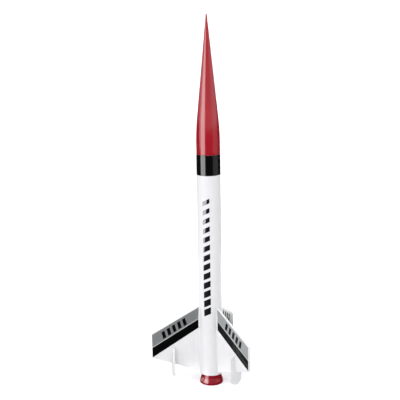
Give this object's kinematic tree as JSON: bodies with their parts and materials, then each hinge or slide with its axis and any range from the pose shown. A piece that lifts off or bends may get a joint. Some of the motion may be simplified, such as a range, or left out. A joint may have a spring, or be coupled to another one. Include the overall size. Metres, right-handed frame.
{
  "type": "model rocket",
  "caption": "Slim model rocket with swept fins, winglets, a flared nozzle ring, a motor mount with a spring hook, and a pull-off nose cone on a folded recovery train.",
  "frame": {"origin": "centre of the nozzle ring's bottom face, on the rocket's axis", "axes": "+Z along the rocket towards the nose tip; fin A points along -X, and fins B and C are at 300 and 60 degrees from +X, seen from above"},
  "size_m": [0.0972, 0.1122, 0.394],
  "materials": {
    "white_tube": "white gloss paint on a spiral-wound paper tube",
    "black_wrap": "glossy black self-adhesive wrap",
    "black_print": "glossy black print that fades to silver grey",
    "white_fin": "balsa, filled and painted white",
    "silver_decal": "metallic silver sticker with a black stripe",
    "red_plastic": "glossy red moulded plastic",
    "kraft_paper": "brown spiral-wound paper tube",
    "ring_card": "pressed card",
    "clear_film": "milky plastic film band",
    "spring_steel": "bright spring steel",
    "mount_paper": "folded paper, glued",
    "elastic_cord": "braided elastic",
    "chute_film": "thin orange plastic film",
    "thread": "white carpet thread"
  },
  "bodies": {
    "airframe": {"body_tube": "white_tube", "tube_band": "black_wrap", "body_graphic": "black_print", "fin_a": "white_fin", "fin_b": "white_fin", "fin_c": "white_fin", "winglet_a": "white_fin", "winglet_b": "white_fin", "winglet_c": "white_fin", "fin_decal_a1": "silver_decal", "fin_decal_a2": "silver_decal", "fin_decal_b1": "silver_decal", "fin_decal_b2": "silver_decal", "fin_decal_c1": "silver_decal", "fin_decal_c2": "silver_decal", "nozzle_ring": "red_plastic", "motor_tube": "kraft_paper", "thrust_ring": "ring_card", "forward_centering_ring": "ring_card", "aft_centering_ring": "ring_card", "hook_retainer_band": "clear_film", "launch_lug": "white_tube", "shock_cord_mount": "mount_paper", "shock_cord": "elastic_cord"},
    "nose": {"nose_cone": "red_plastic", "nose_plug": "red_plastic", "parachute": "chute_film", "shroud_lines": "thread"},
    "hook": {"motor_hook": "spring_steel"}
  },
  "joints": [
    {"name": "nose_slide", "type": "slide", "parent": "airframe", "child": "nose", "axis": [0, 0, 1], "range_m": [0, 0.11], "deforming": ["shock_cord"]},
    {"name": "hook_flex", "type": "hinge", "parent": "airframe", "child": "hook", "pos_m": [-0.00468, 0.0081, 0.072], "axis": [0.866, 0.5, 0], "range_deg": [0, 1.6], "stiffness_Nm_per_rad": 2}
  ]
}
